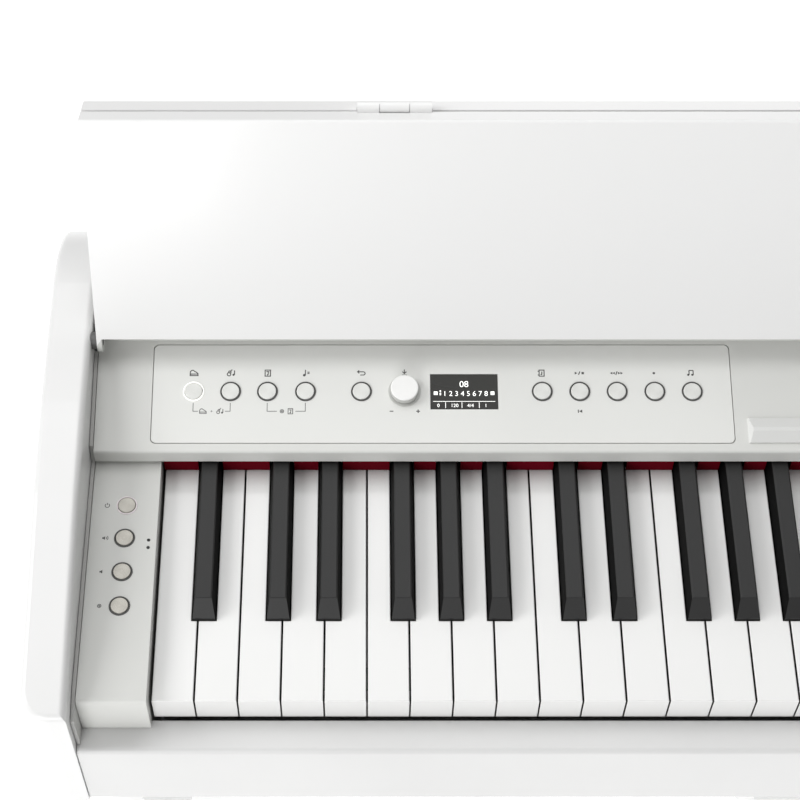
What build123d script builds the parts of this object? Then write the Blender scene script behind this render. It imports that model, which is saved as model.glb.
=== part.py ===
from build123d import *
import math
import os

# Digital piano on stand: a slim cabinet with a folding lid, on two legs with a pedal box.
# Every piece is drawn from the keyboard datum: X = 0 at the middle of the keyboard, Y = 0 at the
# front edges of the white keys, Z = 0 at their tops, +Y to the rear. The last section moves all
# of them so that the origin is on the floor under the middle of the piano.

# ---- Driving dimensions (mm) ----
overall_depth = 345.0        # front of the arms to the rear of the cabinet
key_top_height = 724.0       # floor to the tops of the white keys
arm_overhang = 22.0          # arms reach this far in front of the keys
arm_thickness = 25.5
arm_front_radius = 16.0
arm_rear_radius = 23.0
arm_rear_z = 54.0            # flat rear part of the arm's top
arm_crown_radius = 30.0
rear_roll = 80.0             # the tops of arms and cabinet roll down to the rear
arm_front_z = 24.0
arm_edge_radius = 4.0
board_edge_radius = 1.5
cabinet_bottom_z = -88.0

white_count = 52
key_pitch = 23.57
key_gap = 0.95
key_height = 20.0
key_head_length = 150.0
white_front_length = 48.9
black_base_width = 12.8
black_top_width = 9.4
black_front_y = 49.4
black_top_z = 11.4
black_side_gap = 0.65
stem_width = 8.0
stem_end_y = 222.0
pivot_y = 215.0
pivot_z = -10.0
pivot_rod_radius = 2.0
running_fit = 0.05

cheek_width = 38.0
cheek_top_z = 11.0
cheek_wall = 3.0
liner_thickness = 1.9
side_gap = 0.3
key_side_gap = 1.2
board_thickness = 18.0
bed_front_y = -1.5

fascia_front_y = 145.0
fascia_front_z = 23.7
fascia_tilt = 10.9           # degrees
fascia_depth = 72.0          # along the slope
fascia_thickness = 4.0
fascia_lip_z = 13.4
fascia_lip_thickness = 1.8
plate_thickness = 2.0
plate_width = 335.9
plate_depth = 61.4
plate_end_margin = 32.7      # fascia end to control plate
plate_front_margin = 3.6
plate_joint = 0.5
plate_corner = 3.0

cap_radius = 5.15
cap_gap = 0.35
ring_wall = 0.5
cap_proud = 0.9
cap_depth = 4.0
button_stem_radius = 2.2
button_stem_end = 9.0
button_travel = 0.8
button_row_s = 35.6
cheek_cap_radius = 4.95
cheek_ring_wall = 0.6
dial_radius = 8.1
dial_height = 4.6
dial_collar_radius = 9.4
dial_shaft_radius = 3.0
dial_travel = 0.5
board_drop = 11.0            # circuit board below the fascia's top face
pcb_thickness = 1.6
switch_size = 6.0
screen_width = 39.0
screen_depth = 21.9

ledge_half_length = 276.5
ledge_depth = 15.2
ledge_height = 3.6
ledge_margin = 3.4

lid_length = 141.0
lid_thickness = 13.0
lid_lean = 24.4              # degrees back from vertical when open
lid_axis_y = 206.5
lid_axis_z = 47.5
lid_end_gap = 3.5
stop_gap = 0.5               # lid leaf to the bevel that it leans on
lid_pin_radius = 3.0
lid_pin_depth = 3.0
lid_boss_length = 3.0        # end plates that carry the lid leaf on its pins
lid_foot = 4.4               # the leaf between the end plates stops this far above the pivot axis
flap_length = 86.0
flap_thickness = 12.0
flap_rail_height = 30.0
fold_axis_gap = 0.5
fold_edge_gap = 2.0
knuckle_radius = 3.5
knuckle_length = 12.0
knuckle_half = 8.0
knuckle_centres = (-480.0, -160.0, 160.0, 480.0)
fold_pin_radius = 1.5

top_board_thickness = 15.0
rear_panel_thickness = 12.0
frame_plate = 3.0
speaker_x = 470.0
speaker_y = 264.0
speaker_length = 150.0
speaker_width = 64.0
jack_radius = 3.25
jack_depth = 14.0

foot_height = 54.0
glide_height = 6.0
leg_front_y = 84.0
back_board_height = 230.0
pedal_box_width = 330.0
pedal_box_height = 82.0
pedal_box_front_y = 190.0
pedal_box_bottom = 36.0
pedal_pitch = 75.0
pedal_length = 92.0
pedal_width = 27.0
pedal_thickness = 7.0
pedal_axle_radius = 3.0

# ---- Sizes that follow ----
ring_inner = cap_radius + cap_gap
ring_outer = ring_inner + ring_wall
cheek_ring_inner = cheek_cap_radius + cap_gap
cheek_ring_outer = cheek_ring_inner + cheek_ring_wall
keyboard_half = white_count * key_pitch / 2
cheek_inner = keyboard_half + key_side_gap
cheek_outer = cheek_inner + cheek_width
liner_inner = cheek_outer + side_gap
arm_inner = liner_inner + liner_thickness + side_gap
arm_outer = arm_inner + arm_thickness
cabinet_front_y = -arm_overhang
cabinet_rear_y = cabinet_front_y + overall_depth
floor_z = -key_top_height
bed_top_z = cabinet_bottom_z + board_thickness
tilt_slope = math.tan(math.radians(fascia_tilt))
fascia_drop = fascia_thickness / math.cos(math.radians(fascia_tilt))
octave_width = 7 * key_pitch
slot_width = octave_width / 12
keyboard_left = -keyboard_half


def block(x0, x1, y0, y1, z0, z1):
    """Box between two corners."""
    return Pos((x0 + x1) / 2, (y0 + y1) / 2, (z0 + z1) / 2) * Box(x1 - x0, y1 - y0, z1 - z0)


def side_profile(points, x0, x1):
    """Solid whose outline is drawn in the Y-Z plane, between two X planes."""
    outline = Polyline(*[(x0, y, z) for y, z in points], close=True)
    return extrude(make_face(outline), amount=x1 - x0, dir=(1, 0, 0))


def x_rod(radius, x0, x1, y, z):
    """Round bar along X."""
    return Pos((x0 + x1) / 2, y, z) * Rot(0, 90, 0) * Cylinder(radius, x1 - x0)


def mirror_x(shape):
    """The same piece on the other side of the piano."""
    return mirror(shape, about=Plane.YZ)


def group(pieces):
    """Separate solids that share one node."""
    return Compound(children=list(pieces))


def fascia_z(y, drop=0.0):
    """Height of the fascia's sloped top face, or of a face that far below it."""
    return fascia_front_z + (y - plate_origin_y) * tilt_slope - drop


plate_origin_y = fascia_front_y + 2.2
panel = Plane(
    origin=(0, plate_origin_y, fascia_front_z),
    x_dir=(1, 0, 0),
    z_dir=(0, -math.sin(math.radians(fascia_tilt)), math.cos(math.radians(fascia_tilt))),
)

parts = {}

# ---- Side arms: one board each, rounded outer corners, top in three flats that fall to the front ----
roll_y = cabinet_rear_y - rear_roll
roll_z = arm_rear_z - rear_roll
arm_top = [
    (cabinet_front_y, arm_front_z),
    (103.0, 47.6),
    (160.0, 53.4),
    (roll_y, arm_rear_z),
]


def roll_arc(x, radius):
    """Quarter circle from the flat top to the rear face."""
    middle = radius * math.sqrt(0.5)
    return ThreePointArc(
        (x, roll_y, roll_z + radius), (x, roll_y + middle, roll_z + middle), (x, roll_y + radius, roll_z))


def rounded_plan(x0, x1, y0, y1, z0, z1, front_radius, rear_radius):
    """Upright board whose outer corners, at x0, are rounded in plan."""
    board = block(x0, x1, y0, y1, z0, z1)
    outer = board.edges().filter_by(Axis.Z).group_by(Axis.X)[0].sort_by(Axis.Y)
    board = fillet(outer[0], front_radius)
    outer = board.edges().filter_by(Axis.Z).group_by(Axis.X)[0].sort_by(Axis.Y)
    return fillet(outer[-1], rear_radius)


def same_place(edge, other):
    return (edge.center() - other.center()).length < 0.01


def top_rim(board, low_z):
    """The outline edges of a board's upper faces, without the seams between those faces."""
    tops = [face for face in board.faces() if face.center().Z > low_z and face.normal_at().Z > 0.6]
    edges = [edge for face in tops for edge in face.edges()]
    return [edge for edge in edges if sum(same_place(edge, other) for other in edges) == 1]


def make_arm():
    span = (-arm_outer, -arm_inner, cabinet_front_y, cabinet_rear_y, cabinet_bottom_z, arm_rear_z + 1)
    plan = block(*span)
    front_corner = plan.edges().filter_by(Axis.Z).group_by(Axis.X)[0].sort_by(Axis.Y)[0]
    plan = fillet(front_corner, arm_front_radius)
    x = -arm_outer
    crown = FilletPolyline(*[(x, y, z) for y, z in arm_top], radius=arm_crown_radius)
    rest = Polyline(
        (x, cabinet_rear_y, roll_z), (x, cabinet_rear_y, cabinet_bottom_z),
        (x, cabinet_front_y, cabinet_bottom_z), (x, cabinet_front_y, arm_front_z),
    )
    outline = crown + roll_arc(x, rear_roll) + rest
    arm = plan & extrude(make_face(outline), amount=arm_thickness, dir=(1, 0, 0))
    rim = [edge for edge in top_rim(arm, 0.0) if edge.center().Z > roll_z + 1]
    arm = fillet(rim, arm_edge_radius)
    return arm & rounded_plan(*span, arm_front_radius, arm_rear_radius)


parts["left_arm"] = make_arm()
parts["right_arm"] = mirror_x(parts["left_arm"])

# ---- Cabinet boards ----
speaker_cut = Pos(0, speaker_y, bed_top_z) * extrude(
    SlotOverall(speaker_length - 16, speaker_width - 16), amount=60, both=True
)
key_bed = block(
    -liner_inner, liner_inner, bed_front_y, cabinet_rear_y - 1, cabinet_bottom_z, bed_top_z)
parts["key_bed"] = key_bed - Pos(speaker_x, 0, 0) * speaker_cut - Pos(-speaker_x, 0, 0) * speaker_cut

slip_top_z = -22.0
key_slip = block(-arm_inner + side_gap, arm_inner - side_gap, cabinet_front_y + 1.5, bed_front_y - 0.2,
                 cabinet_bottom_z, slip_top_z)
parts["key_slip"] = fillet(key_slip.edges().filter_by(Axis.X).sort_by(Axis.Y)[:2], 3.0)

lean_rise = math.cos(math.radians(lid_lean))
lean_back = math.sin(math.radians(lid_lean))
board_front_y = lid_axis_y + lid_thickness / 2 + 0.6
board_bottom_z = arm_rear_z - top_board_thickness
stop_offset = lid_thickness / 2 + stop_gap
stop_y = lid_axis_y + stop_offset * lean_rise
stop_z = lid_axis_z - stop_offset * lean_back
stop_foot_z = stop_z + (board_front_y - stop_y) * lean_rise / lean_back
stop_top_y = stop_y + (arm_rear_z - stop_z) * lean_back / lean_rise
board_left = -liner_inner
board_inner_roll = rear_roll - top_board_thickness
board_front = Polyline(
    (board_left, roll_y, board_bottom_z), (board_left, board_front_y, board_bottom_z),
    (board_left, board_front_y, stop_foot_z), (board_left, stop_top_y, arm_rear_z),
    (board_left, roll_y, arm_rear_z),
)
board_foot = Line((board_left, cabinet_rear_y, roll_z), (board_left, roll_y + board_inner_roll, roll_z))
board_rear = roll_arc(board_left, rear_roll) + board_foot + roll_arc(board_left, board_inner_roll)
board_outline = board_front + board_rear
parts["top_board"] = extrude(make_face(board_outline), amount=2 * liner_inner, dir=(1, 0, 0))
parts["rear_panel"] = block(
    -liner_inner, liner_inner, cabinet_rear_y - 1 - rear_panel_thickness, cabinet_rear_y - 1,
    bed_top_z, roll_z,
)

# ---- Fascia: moulded panel with a turned-down lip; control plate let into it ----
fascia_rear_y = plate_origin_y + fascia_depth * math.cos(math.radians(fascia_tilt))
lip_rear_y = fascia_front_y + fascia_lip_thickness
fascia_outline = [
    (fascia_front_y, fascia_lip_z),
    (fascia_front_y, fascia_z(fascia_front_y)),
    (fascia_rear_y - 4, fascia_z(fascia_rear_y - 4)),
    (fascia_rear_y - 4, board_bottom_z),
    (fascia_rear_y, board_bottom_z),
    (fascia_rear_y, fascia_z(fascia_rear_y, fascia_drop)),
    (lip_rear_y, fascia_z(lip_rear_y, fascia_drop)),
    (lip_rear_y, fascia_lip_z),
]
fascia = side_profile(fascia_outline, -cheek_outer, cheek_outer)
front_edge = fascia.edges().filter_by(Axis.X).group_by(Axis.Y)[0].sort_by(Axis.Z)[-1]
fascia = fillet(front_edge, 1.6)

plate_left = -cheek_outer + plate_end_margin
plate_right = plate_left + plate_width
plate_x = (plate_left + plate_right) / 2
plate_s = plate_front_margin + plate_depth / 2
dial_x = plate_left + 146.1
button_offsets = [23.6, 45.1, 66.5, 88.6, 121.1, 226.1, 247.9, 269.6, 291.5, 313.2]
button_x = [plate_left + offset for offset in button_offsets]
screen_x = plate_left + 180.7
screen_s = 35.5


def on_panel(x, s, h, shape):
    """Put a shape on the fascia: x across, s up the slope, h above its face."""
    return panel * Pos(x, s, h) * shape


def panel_slab(width, depth, height, corner):
    return extrude(RectangleRounded(width, depth, corner), amount=height)


recess = on_panel(
    plate_x, plate_s, -plate_thickness,
    panel_slab(plate_width + 2 * plate_joint, plate_depth + 2 * plate_joint, 5, plate_corner),
)
fascia = fascia - recess
plate = on_panel(plate_x, plate_s, -plate_thickness,
                 panel_slab(plate_width, plate_depth, plate_thickness, plate_corner))
fascia_hole_radius = cap_radius + 0.5
for x in button_x:
    fascia = fascia - on_panel(x, button_row_s, 0, Cylinder(fascia_hole_radius, 20))
    plate = plate - on_panel(x, button_row_s, 0, Cylinder(ring_outer + 0.1, 8))
shaft_hole = on_panel(dial_x, button_row_s, 0, Cylinder(dial_shaft_radius + 0.6, 20))
fascia = fascia - shaft_hole
plate = plate - shaft_hole
plate = plate - on_panel(screen_x, screen_s, 0, Box(screen_width + 0.4, screen_depth + 0.4, 8))
fascia = fascia - on_panel(screen_x, screen_s, 0, Box(screen_width - 4, screen_depth - 4, 20))
boss_x = [plate_left + 12, dial_x - 12, screen_x + 36, plate_right - 12]
boss_length = board_drop - fascia_thickness
boss_radius = 2.5
boss_s = 52.0
for x in boss_x:
    boss = Cylinder(boss_radius, boss_length + 0.2)
    boss = on_panel(x, boss_s, -fascia_thickness - boss_length / 2 + 0.1, boss)
    fascia = fascia + boss
parts["fascia"] = fascia
parts["control_plate"] = plate
parts["display_window"] = on_panel(
    screen_x, screen_s, -plate_thickness, panel_slab(screen_width, screen_depth, plate_thickness - 0.2, 0.8)
)

# ---- Score ledge: long low ridge with slanted ends, bonded to the fascia ----
ledge_profile = make_face(Polyline(
    (0, 0), (0, 1.2), (6.4, ledge_height), (8.4, ledge_height), (ledge_depth, 0.8), (ledge_depth, 0),
    close=True,
))
up_slope = (0, math.cos(math.radians(fascia_tilt)), math.sin(math.radians(fascia_tilt)))
ledge_plane = Plane(origin=panel.origin, x_dir=up_slope, z_dir=(1, 0, 0))
ledge = extrude(ledge_profile, amount=ledge_half_length, both=True)
ledge = ledge_plane * Pos(ledge_margin, 0, 0) * ledge
end_cut = Rot(0, -35, 0) * Box(10, 40, 30)
end_cut = panel * Pos(ledge_half_length + 5, ledge_margin + ledge_depth / 2, 0) * end_cut
parts["score_ledge"] = ledge - end_cut - mirror_x(end_cut)

# ---- Felt strip: band behind the fascia's lip, with teeth between the black keys ----
octave_start = [keyboard_left + (2 + 7 * n) * key_pitch for n in range(-1, 8)]
note_names = ["c", "c_sharp", "d", "d_sharp", "e", "f", "f_sharp", "g", "g_sharp", "a", "a_sharp", "b"]
white_index = {0: 0, 2: 1, 4: 2, 5: 3, 7: 4, 9: 5, 11: 6}
group_slot_low = 3 * key_pitch / 5
group_slot_high = 4 * key_pitch / 7


def black_centre(note):
    """Centre of a black key within its octave: the rear of the octave is shared out evenly."""
    if note < 5:
        return (note + 0.5) * group_slot_low
    return 3 * key_pitch + (note - 4.5) * group_slot_high


black_notes = [1, 3, 6, 8, 10]
felt_y = fascia_front_y + fascia_lip_thickness + 0.1
felt_foot_z = 0.8
felt = block(keyboard_left, keyboard_half, felt_y, felt_y + 2.6, felt_foot_z, fascia_lip_z + 3.0)
for start in octave_start:
    for note in black_notes:
        x = start + black_centre(note)
        if keyboard_left < x < keyboard_half:
            half = black_base_width / 2 + 0.8
            notch_top = black_top_z + 0.4
            felt = felt - block(x - half, x + half, felt_y - 5, felt_y + 8, -20, notch_top)
parts["felt_strip"] = felt

# ---- Keys: the keys of one note name share a node, and turn on the pivot rod ----


def key_stem(slot_x, z0, z1):
    """Narrow rear bar of a key, with its bearing hole."""
    bar = block(slot_x - stem_width / 2, slot_x + stem_width / 2, key_head_length - 8, stem_end_y, z0, z1)
    return bar - x_rod(pivot_rod_radius + running_fit, slot_x - 20, slot_x + 20, pivot_y, pivot_z)


def white_key(note, cut_left=True, cut_right=True):
    """White key drawn from the start of its octave."""
    left = white_index[note] * key_pitch + key_gap / 2
    right = (white_index[note] + 1) * key_pitch - key_gap / 2
    head = block(left, right, 0, key_head_length, -key_height, 0)
    notch = black_base_width / 2 + black_side_gap
    if cut_left and note - 1 in black_notes:
        edge = black_centre(note - 1) + notch
        head = head - block(left - 5, edge, white_front_length, key_head_length + 5, -30, 5)
    if cut_right and note + 1 in black_notes:
        edge = black_centre(note + 1) - notch
        head = head - block(edge, right + 5, white_front_length, key_head_length + 5, -30, 5)
    top_edges = head.edges().group_by(Axis.Z)[-1]
    head = fillet(top_edges, 0.6)
    return head + key_stem((note + 0.5) * slot_width, -16, -4)


def black_key(note):
    """Black key: sloped front and sides, drawn from the start of its octave."""
    x = black_centre(note)
    side = [(black_front_y, -18), (black_front_y, 2.2), (black_front_y + 8, black_top_z),
            (key_head_length + 0.5, black_top_z), (key_head_length + 0.5, -18)]
    body = side_profile(side, x - 20, x + 20)
    half, top = black_base_width / 2, black_top_width / 2
    section = Polyline((x - half, 0, -18), (x - half, 0, 1.5), (x - top, 0, black_top_z),
                       (x + top, 0, black_top_z), (x + half, 0, 1.5), (x + half, 0, -18), close=True)
    body = body & extrude(make_face(section), amount=200, dir=(0, 1, 0))
    upper = body.edges().group_by(Axis.Z)[-1]
    body = fillet(upper, 1.0)
    return body + key_stem((note + 0.5) * slot_width, -16, -4)


for note, name in enumerate(note_names):
    is_white = note in white_index
    master = white_key(note) if is_white else black_key(note)
    keys = []
    for number, start in enumerate(octave_start):
        low_a = number == 0
        if low_a and note < 9:
            continue
        if number == 8 and note > 0:
            continue
        key = master
        if low_a and note == 9:
            key = white_key(note, cut_left=False)
        if number == 8:
            key = white_key(note, cut_right=False)
        keys.append(Pos(start, 0, 0) * key)
    parts[name + "_keys"] = group(keys)

# ---- Key frame: pressed pan with a front stop rail and brackets that carry the pivot rod ----
frame_front_y = 22.0
frame_rear_y = 232.0
pan = block(keyboard_left, keyboard_half, frame_front_y, frame_rear_y, bed_top_z, bed_top_z + frame_plate)
front_rail = block(keyboard_left, keyboard_half, frame_front_y, frame_front_y + 14, bed_top_z, -34)
rear_rail = block(keyboard_left, keyboard_half, pivot_y - 9, pivot_y + 9, bed_top_z, -20)
key_frame = pan + front_rail + rear_rail
bracket_x = [keyboard_left + 1.2] + [start - 0.6 for start in octave_start[1:]] + [keyboard_half - 1.2]
for x in bracket_x:
    ear = block(x - 0.9, x + 0.9, pivot_y - 6, pivot_y + 6, -21, pivot_z + 5)
    key_frame = key_frame + ear
rod_hole = x_rod(pivot_rod_radius + running_fit, keyboard_left - 5, keyboard_half + 5, pivot_y, pivot_z)
parts["key_frame"] = key_frame - rod_hole
parts["key_pivot_rod"] = x_rod(pivot_rod_radius, keyboard_left + 0.3, keyboard_half - 0.3, pivot_y, pivot_z)

# ---- Cheek blocks: moulded shells beside the keys; the left one carries four buttons ----
cheek_button_y = [52.4, 73.9, 95.5, 116.8]
cheek_button_x = -cheek_outer + 19.9
cheek_rear_y = lid_axis_y
under_y = fascia_front_y + fascia_lip_thickness + 0.4
cheek_outline = [
    (-6.0, cheek_top_z), (-6.0, slip_top_z + 0.3), (bed_front_y, slip_top_z + 0.3), (bed_front_y, bed_top_z),
    (cheek_rear_y, bed_top_z), (cheek_rear_y, fascia_z(cheek_rear_y, fascia_drop)),
    (under_y, fascia_z(under_y, fascia_drop)), (under_y, cheek_top_z),
]
inner_top = cheek_top_z - cheek_wall
inner_outline = [
    (-6.0 + cheek_wall, inner_top), (-6.0 + cheek_wall, slip_top_z + 0.3 + cheek_wall),
    (bed_front_y + cheek_wall, slip_top_z + 0.3 + cheek_wall), (bed_front_y + cheek_wall, bed_top_z - 5),
    (cheek_rear_y - cheek_wall, bed_top_z - 5), (cheek_rear_y - cheek_wall, inner_top),
]
cheek = side_profile(cheek_outline, -cheek_outer, -cheek_inner)
cheek = fillet(cheek.edges().filter_by(Axis.X).group_by(Axis.Y)[0].sort_by(Axis.Z)[-1], 3.0)
cheek = cheek - side_profile(inner_outline, -cheek_outer + cheek_wall, -cheek_inner - cheek_wall)
right_cheek = mirror_x(cheek)
left_cheek = cheek
for y in cheek_button_y:
    left_cheek = left_cheek - Pos(cheek_button_x, y, cheek_top_z) * Cylinder(cheek_ring_outer + 0.1, 12)
post_y = [cheek_button_y[0] - 14, cheek_button_y[-1] + 14]
cheek_board_z = cheek_top_z - board_drop
for y in post_y:
    left_cheek = left_cheek + block(
        cheek_button_x - 3, cheek_button_x + 3, y - 3, y + 3, cheek_board_z, inner_top + 0.5)
for y in (89.4, 94.2):
    left_cheek = left_cheek - Pos(-cheek_inner - 4.4, y, cheek_top_z) * Cylinder(0.85, 3)
parts["cheek_blocks"] = group([left_cheek, right_cheek])

liner_foot_z = slip_top_z + 0.2
liner_rear_z = fascia_z(cheek_rear_y, -1.0)
liner_outline = [
    (-16.0, liner_foot_z), (-16.0, 8.0), (0.0, 12.0), (fascia_front_y, 13.0), (fascia_front_y + 3, 25.5),
    (cheek_rear_y, liner_rear_z), (cheek_rear_y, bed_top_z + 0.2), (bed_front_y, bed_top_z + 0.2),
    (bed_front_y, liner_foot_z),
]
liner = side_profile(liner_outline, -arm_inner + side_gap, -liner_inner)
parts["side_liners"] = group([liner, mirror_x(liner)])

# ---- Buttons, rings and the dial ----
panel_ring = Cylinder(ring_outer, plate_thickness + 0.5) - Cylinder(ring_inner, 10)
rings = [on_panel(x, button_row_s, (0.5 - plate_thickness) / 2, panel_ring) for x in button_x]
cheek_ring = Cylinder(cheek_ring_outer, 3.4) - Cylinder(cheek_ring_inner, 10)
rings += [Pos(cheek_button_x, y, cheek_top_z + 0.4 - 1.7) * cheek_ring for y in cheek_button_y]
collar = Cylinder(dial_collar_radius, 0.8) - Cylinder(dial_shaft_radius + 0.6, 5)
rings.append(on_panel(dial_x, button_row_s, 0.4, collar))
parts["control_rings"] = group(rings)


def push_button(radius, proud):
    """Round cap with a stem to its switch, its axis along Z and Z = 0 at the panel's face."""
    height = proud + cap_depth
    cap = Pos(0, 0, proud - height / 2) * Cylinder(radius, height)
    cap = fillet(cap.edges().group_by(Axis.Z)[-1], 0.5)
    stem_length = button_stem_end - cap_depth + 0.5
    return cap + Pos(0, 0, -button_stem_end + stem_length / 2) * Cylinder(button_stem_radius, stem_length)


panel_button = push_button(cap_radius, cap_proud)
for number, x in enumerate(button_x, start=1):
    parts["panel_button_%d" % number] = on_panel(x, button_row_s, 0, panel_button)
cheek_button = push_button(cheek_cap_radius, cap_proud)
for number, y in enumerate(cheek_button_y, start=1):
    name = "power_button" if y == cheek_button_y[-1] else "cheek_button_%d" % number
    parts[name] = Pos(cheek_button_x, y, cheek_top_z) * cheek_button

knob_bottom = 0.8 + dial_travel + 0.2
knob_top = knob_bottom + dial_height
knob = Pos(0, 0, (knob_bottom + knob_top) / 2) * Cylinder(dial_radius, dial_height)
knob = fillet(knob.edges().group_by(Axis.Z)[-1], 0.8)
knob = knob - Pos(0, 0, knob_bottom) * Cylinder(dial_shaft_radius + running_fit, 6.4)
shaft_top = knob_bottom + 3.2 - 0.3
shaft_bottom = -board_drop + 1.8
shaft = Pos(0, 0, (shaft_top + shaft_bottom) / 2) * Cylinder(dial_shaft_radius, shaft_top - shaft_bottom)
parts["dial_knob"] = on_panel(dial_x, button_row_s, 0, knob)
parts["dial_shaft"] = on_panel(dial_x, button_row_s, 0, shaft)

# ---- Switch boards: circuit board under the fascia, and a small one in the left cheek ----
switch_height = board_drop - button_stem_end - button_travel - 0.2
pcb_left = plate_left + 6
pcb_width = plate_right - 6 - pcb_left
main_board = on_panel(pcb_left + pcb_width / 2, button_row_s, -board_drop - pcb_thickness / 2,
                      Box(pcb_width, 44, pcb_thickness))
for x in button_x:
    main_board = main_board + on_panel(x, button_row_s, -board_drop + switch_height / 2 - 0.1,
                                       Box(switch_size, switch_size, switch_height + 0.2))
main_board = main_board + on_panel(dial_x, button_row_s, -board_drop + 0.3, Box(12, 12, 1.4))
screen_height = board_drop - fascia_thickness - 0.5
main_board = main_board + on_panel(screen_x, screen_s, -board_drop + screen_height / 2 - 0.1,
                                   Box(screen_width - 1, screen_depth - 1, screen_height + 0.2))
side_board = block(cheek_button_x - 8, cheek_button_x + 8, post_y[0] - 5, post_y[1] + 5,
                   cheek_board_z - pcb_thickness, cheek_board_z)
for y in cheek_button_y:
    side_board = side_board + block(cheek_button_x - 3, cheek_button_x + 3, y - 3, y + 3,
                                    cheek_board_z - 0.1, cheek_board_z + switch_height)
parts["switch_boards"] = group([main_board, side_board])

# ---- Lid: leaf on two pivot pins, flap folded behind it on hinge pins ----
# The lid is drawn upright in its own frame: X across, Y from the inner to the outer face,
# Z from the pivot axis towards the free edge; then it is leaned back about the pivot axis.
lid_frame = Pos(0, lid_axis_y, lid_axis_z) * Rot(-lid_lean, 0, 0)
lid_half = arm_inner - lid_end_gap
half_lid = lid_thickness / 2
fold_y = half_lid + fold_axis_gap
fold_z = lid_length + fold_edge_gap
leaf = block(-lid_half, lid_half, -half_lid, half_lid, 0, lid_length)
leaf = leaf + x_rod(half_lid, -lid_half, lid_half, 0, 0)
foot_half = lid_half - lid_boss_length
leaf = leaf - block(-foot_half, foot_half, -half_lid - 1, half_lid + 1, -half_lid - 1, lid_foot)
leaf_edges = [e for e in leaf.edges().filter_by(Axis.X) if e.center().Z > lid_length - 1]
leaf = fillet(leaf_edges, 1.5)
flap_inner = fold_y + fold_axis_gap
flap_outer = flap_inner + flap_thickness
flap_top = fold_z - fold_edge_gap
flap_bottom = flap_top - flap_length
rail_thickness = 12.0
flap_outline = [
    (flap_inner, flap_top), (flap_outer, flap_top), (flap_outer, flap_bottom + rail_thickness),
    (flap_inner + flap_rail_height, flap_bottom + rail_thickness),
    (flap_inner + flap_rail_height, flap_bottom), (flap_inner, flap_bottom),
]
flap = side_profile(flap_outline, -lid_half, lid_half)
flap_round = [e for e in flap.edges().filter_by(Axis.X)
              if e.center().Y < flap_inner + 1 and e.center().Z < flap_bottom + 1]
flap = fillet(flap_round, 5.0)
clear_radius = knuckle_radius + 0.5
fold_pins = []
for centre in knuckle_centres:
    inner_span = (centre - knuckle_half, centre + knuckle_half)
    near, far = knuckle_half + 0.3, knuckle_half + 0.3 + knuckle_length
    outer_spans = [(centre - far, centre - near), (centre + near, centre + far)]
    leaf = leaf - x_rod(clear_radius, inner_span[0] - 0.3, inner_span[1] + 0.3, fold_y, fold_z)
    flap = flap + x_rod(knuckle_radius, inner_span[0], inner_span[1], fold_y, fold_z)
    flap = flap + block(inner_span[0], inner_span[1], fold_y, fold_y + knuckle_radius, flap_top - 2, fold_z)
    for low, high in outer_spans:
        flap = flap - x_rod(clear_radius, low - 0.3, high + 0.3, fold_y, fold_z)
        leaf = leaf + x_rod(knuckle_radius, low, high, fold_y, fold_z)
        leaf = leaf + block(low, high, fold_y - knuckle_radius, fold_y, lid_length - 2, fold_z)
    low, high = outer_spans[0][0] + 2, outer_spans[1][1] - 2
    bore = x_rod(fold_pin_radius + running_fit, low - 0.1, high + 0.1, fold_y, fold_z)
    leaf = leaf - bore
    flap = flap - bore
    fold_pins.append(x_rod(fold_pin_radius, low, high, fold_y, fold_z))
for side in (-1, 1):
    pin_bore = x_rod(lid_pin_radius + running_fit, 0, lid_pin_depth + 0.5, 0, 0)
    leaf = leaf - Pos(side * lid_half - (lid_pin_depth + 0.5) * (side > 0), 0, 0) * pin_bore
parts["lid_leaf"] = lid_frame * group([leaf] + fold_pins)
parts["lid_flap"] = lid_frame * flap
pin = x_rod(lid_pin_radius, -arm_inner, -lid_half + lid_pin_depth, lid_axis_y, lid_axis_z)
pin = pin + x_rod(lid_pin_radius + 2, -arm_inner, -lid_half - 0.6, lid_axis_y, lid_axis_z)
parts["lid_pivot_pins"] = group([pin, mirror_x(pin)])

# ---- Speakers on the key bed, facing down through their grilles ----
basket = extrude(SlotOverall(speaker_length, speaker_width), amount=3)
cone = loft([SlotOverall(speaker_length - 20, speaker_width - 20).face(),
             (Pos(0, 0, 22) * SlotOverall(60, 32)).face()])
magnet = Pos(0, 0, 30) * Cylinder(17, 18)
speaker = Pos(0, speaker_y, bed_top_z) * (basket + cone + magnet)
parts["speakers"] = group([Pos(-speaker_x, 0, 0) * speaker, Pos(speaker_x, 0, 0) * speaker])
grille = extrude(SlotOverall(speaker_length, speaker_width), amount=-2)
for step in range(-5, 6):
    grille = grille - Pos(step * 11.0, 0, -1) * Box(4.5, speaker_width - 24, 6)
grille = Pos(0, speaker_y, cabinet_bottom_z) * grille
parts["speaker_grilles"] = group([Pos(-speaker_x, 0, 0) * grille, Pos(speaker_x, 0, 0) * grille])

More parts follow.
